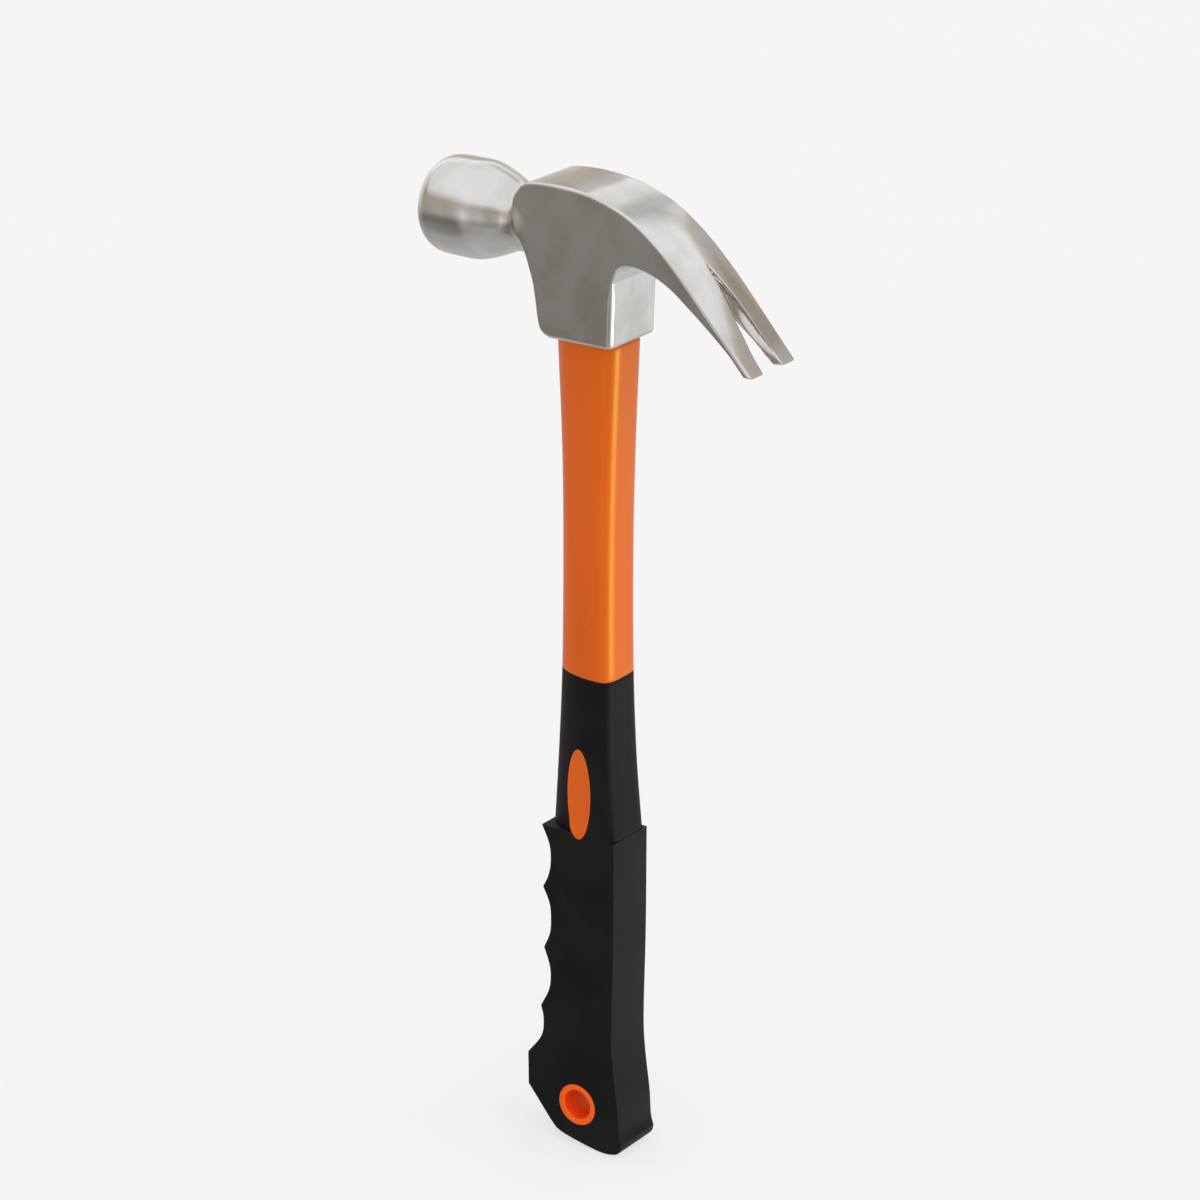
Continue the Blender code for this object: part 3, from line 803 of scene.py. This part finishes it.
def fibreglass():
    """A pultruded rod: pale resin with long glass fibres."""
    material, tree, shader = new_material("fibreglass", Transmission_Weight=0.15, IOR=1.52)
    fibres = noise(tree, 0.30, detail=4.0, stretch=(1.0, 1.0, 60.0))
    tint = blend_colours(tree, spread(tree, fibres, 0.36, 0.64), RESIN_BETWEEN_FIBRES, GLASS_FIBRE)
    tree.links.new(tint, shader.inputs["Base Color"])
    tree.links.new(spread(tree, fibres, 0.3, 0.7, 0.30, 0.50), shader.inputs["Roughness"])
    emboss(tree, shader, [(fibres, 0.03)])
    return material


def epoxy():
    """Set amber resin with small bubbles."""
    material, tree, shader = new_material("epoxy", Transmission_Weight=0.30, IOR=1.56)
    bubbles = noise(tree, 1.1, detail=2.0)
    tint = blend_colours(tree, spread(tree, bubbles, 0.58, 0.70), EPOXY_AMBER, EPOXY_BUBBLE)
    tree.links.new(tint, shader.inputs["Base Color"])
    tree.links.new(spread(tree, bubbles, 0.3, 0.7, 0.12, 0.28), shader.inputs["Roughness"])
    emboss(tree, shader, [(bubbles, 0.08)])
    return material


def pale_floor():
    """Matt white paper with the faintest mottling."""
    material, tree, shader = new_material("pale_floor", Roughness=1.0, Specular_IOR_Level=0.0,
                                          Emission_Color=(*FLOOR_GLOW, 1.0), Emission_Strength=1.0)
    mottle = noise(tree, 400.0, detail=2.0)
    tree.links.new(blend_colours(tree, mottle, FLOOR_DULL, FLOOR_PALE), shader.inputs["Base Color"])
    return material


# ---------------------------------------------------------------- floor, light and camera

FLOOR_RADIUS = 14.0                  # metres
FLOOR_SIDES = 96
FLOOR_DROP = 0.0002                  # metres
FLOOR_DULL = (0.247, 0.244, 0.247)
FLOOR_PALE = (0.253, 0.250, 0.253)
FLOOR_GLOW = (0.670, 0.662, 0.674)   # most of the floor's brightness, so shadows on it stay soft
BACKDROP = (0.925, 0.914, 0.930)     # what the camera sees past the floor's edge
FILL = (0.80, 0.80, 0.80)            # soft light from all round
KEY_STRENGTH = 1.15
KEY_COLOUR = (0.96, 1.03, 0.92)
KEY_ANGLE = 80.0                     # degrees across, which makes its shading soft
KEY_FROM = (0.78, -0.18, 0.60)       # the direction that it comes from

# Tints of the studio's surfaces. A tint shows in full only where a mark is dark.
GREY = (1.02, 1.0, 1.0)
WARM = (1.08, 1.0, 0.92)
BROWN = (1.20, 1.0, 0.78)
WHITE = (1.01, 1.0, 0.985)
UNTINTED_BRIGHTNESS = 0.85           # a mark this bright has no tint left
TINT_FADE = 0.5                      # and the tint is full when it is this much darker

# The studio that glossy surfaces mirror: rings of floor, wall and ceiling from straight down to
# straight up, as (height, tint, marks), where a mark is (azimuth in degrees from +X, brightness)
STUDIO_RINGS = [
    (-1.0, GREY, [(0, 0.54)]),
    (-0.80, GREY, [(-120, 0.43), (55, 0.62), (150, 0.55)]),
    (-0.60, GREY, [(-150, 0.30), (-120, 0.24), (-90, 0.42), (55, 0.74), (80, 0.62), (150, 0.54)]),
    (-0.36, WARM, [(-150, 0.20), (-118, 0.20), (-97, 0.45), (-70, 0.25), (-30, 0.60), (-4, 1.6),
                   (8, 4.6), (28, 4.4), (39, 0.9), (55, 0.83), (100, 0.62), (150, 0.45)]),
    (-0.08, WARM, [(-165, 0.40), (-135, 0.36), (-115, 0.55), (-97, 0.85), (-70, 0.25), (0, 0.30),
                   (40, 0.42), (65, 0.50), (120, 0.66), (150, 1.0)]),
    (0.28, BROWN, [(-165, 0.36), (-135, 0.41), (-97, 0.58), (-65, 0.30), (0, 0.30), (45, 0.46),
                   (82, 0.36), (104, 0.72), (125, 0.46), (150, 1.1)]),
    (0.40, WARM, [(-180, 0.60), (-135, 0.70), (-90, 0.72), (-60, 0.40), (45, 0.47), (82, 0.38),
                  (108, 0.90), (125, 0.52), (150, 1.2)]),
    (0.45, WARM, [(-180, 0.75), (-90, 0.85), (-60, 0.60), (40, 0.48), (82, 0.48), (95, 0.58),
                  (106, 1.02), (150, 1.2)]),
    (0.51, BROWN, [(-180, 0.88), (-90, 0.95), (-45, 0.80), (0, 0.60), (40, 0.50), (65, 0.50),
                   (80, 0.57), (97, 0.54), (110, 0.98), (150, 1.2)]),
    (0.60, WHITE, [(-180, 0.96), (-60, 0.92), (0, 0.80), (36, 0.86), (62, 0.90), (74, 1.02),
                   (86, 1.12), (98, 0.62), (107, 0.64), (122, 1.05), (140, 1.15), (165, 0.80)]),
    (0.68, WHITE, [(-90, 0.97), (10, 0.90), (38, 0.95), (62, 0.98), (84, 0.96), (96, 0.60),
                   (107, 0.72), (122, 1.0)]),
    (0.77, WHITE, [(0, 0.96)]),
    (1.0, WHITE, [(0, 0.95)]),
]

# Camera, fitted to the hammer's straight edges, in degrees, metres and lens millimetres
LENS = 128.934
SENSOR = 36.0
CAMERA_AZIMUTH = 35.405
CAMERA_ELEVATION = 21.069
CAMERA_TARGET = (-0.001656, 0.0, 0.192347)
CAMERA_DISTANCE = 1.37053


def make_floor():
    """A wide round floor just under the hammer, which nothing glossy mirrors."""
    angle = 2 * np.pi * np.arange(FLOOR_SIDES) / FLOOR_SIDES
    x, y = FLOOR_RADIUS * np.cos(angle), FLOOR_RADIUS * np.sin(angle)
    rim = np.column_stack([x, y, np.full(FLOOR_SIDES, -FLOOR_DROP)])
    mesh = bpy.data.meshes.new("floor")
    mesh.from_pydata(rim.tolist(), [], [tuple(range(FLOOR_SIDES))])
    mesh.materials.append(pale_floor())
    floor = bpy.data.objects.new("floor", mesh)
    floor.visible_glossy = False
    bpy.context.collection.objects.link(floor)


def ring_colour(tree, turn, tint, marks):
    """A ring's colour by azimuth, given as a share of a full turn from -X; it closes on itself."""
    shares = [((azimuth + 180) / 360, bright) for azimuth, bright in marks]
    seam = (shares[0][1] + shares[-1][1]) / 2
    if shares[0][0] > 0:
        shares.insert(0, (0.0, seam))
    shares.append((1.0, shares[0][1]))
    ramp = tree.nodes.new("ShaderNodeValToRGB")
    tree.links.new(turn, ramp.inputs["Fac"])
    elements = ramp.color_ramp.elements
    while len(elements) < len(shares):
        elements.new(1.0)
    for element, (share, bright) in zip(elements, shares):
        dullness = min(1.0, max(0.0, (UNTINTED_BRIGHTNESS - bright) / TINT_FADE))
        element.position = share
        element.color = (*[bright * (1 + (part - 1) * dullness) for part in tint], 1.0)
    return ramp.outputs["Color"]


def studio_colours(tree):
    """The studio as a colour for each direction."""
    axes = tree.nodes.new("ShaderNodeSeparateXYZ")
    tree.links.new(tree.nodes.new("ShaderNodeTexCoord").outputs["Generated"], axes.inputs["Vector"])
    azimuth = combine_values(tree, "ARCTAN2", axes.outputs["Y"], axes.outputs["X"])
    turn = combine_values(tree, "ADD", combine_values(tree, "DIVIDE", azimuth, 2 * math.pi), 0.5)
    rings = [(height, ring_colour(tree, turn, tint, marks)) for height, tint, marks in STUDIO_RINGS]
    below, colour = rings[0]
    for height, ring in rings[1:]:
        colour = blend_colours(tree, spread(tree, axes.outputs["Z"], below, height), colour, ring)
        below = height
    return colour


def make_studio():
    """Soft white light from all round, a wide key light, and a studio for gloss to mirror."""
    world = bpy.data.worlds.new("studio")
    bpy.context.scene.world = world
    world.cycles.sampling_method = "NONE"    # so that Light Path tells mirrored rays from the rest
    world.use_nodes = True
    tree = world.node_tree
    light_path = tree.nodes.new("ShaderNodeLightPath").outputs
    lit = blend_colours(tree, light_path["Is Glossy Ray"], FILL, studio_colours(tree))
    seen = blend_colours(tree, light_path["Is Camera Ray"], lit, BACKDROP)
    tree.links.new(seen, tree.nodes["Background"].inputs["Color"])
    key = bpy.data.lights.new("key", "SUN")
    key.energy = KEY_STRENGTH
    key.color = KEY_COLOUR
    key.angle = math.radians(KEY_ANGLE)
    lamp = bpy.data.objects.new("key", key)
    lamp.rotation_euler = Vector(KEY_FROM).to_track_quat("Z", "Y").to_euler()
    lamp.visible_glossy = False
    bpy.context.collection.objects.link(lamp)
    bpy.context.scene.view_settings.view_transform = "Standard"


def make_camera():
    """The camera at the photograph's viewing angle."""
    turn, tilt = math.radians(CAMERA_AZIMUTH), math.radians(CAMERA_ELEVATION)
    away = Vector((math.sin(turn) * math.cos(tilt), -math.cos(turn) * math.cos(tilt), math.sin(tilt)))
    data = bpy.data.cameras.new("camera")
    data.lens = LENS
    data.sensor_width = SENSOR
    camera = bpy.data.objects.new("camera", data)
    camera.location = Vector(CAMERA_TARGET) + away * CAMERA_DISTANCE
    camera.rotation_euler = (math.pi / 2 - tilt, 0.0, turn)
    bpy.context.collection.objects.link(camera)
    bpy.context.scene.camera = camera


# ---------------------------------------------------------------- the hammer

def dress_node(node, material):
    """Give a finished material to a CAD node that stays."""
    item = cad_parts[node]
    item.data.materials.clear()
    item.data.materials.append(material)


def main():
    """Camera, studio and floor, then each piece of the hammer with its material."""
    inlay_orange = orange_plastic("inlay_plastic", INLAY_ORANGE, INLAY_ROUGHNESS)
    make_camera()
    make_studio()
    make_floor()
    make_head(polished_steel())
    make_jacket(orange_plastic("shaft_plastic", SHAFT_ORANGE, SHAFT_ROUGHNESS))
    make_grip(black_rubber())
    make_inlay("inlay_oval_left", "inlay_left", -1, inlay_orange)
    make_inlay("inlay_oval_right", "inlay_right", 1, inlay_orange)
    # the bush's colour carries painted bounce light for the inside of its bore
    make_eyelet(orange_plastic("eyelet_plastic", EYELET_ORANGE_WITH_PAINTED_BOUNCE, EYELET_ROUGHNESS))
    dress_node("fibreglass_core", fibreglass())
    dress_node("epoxy_bond", epoxy())


main()
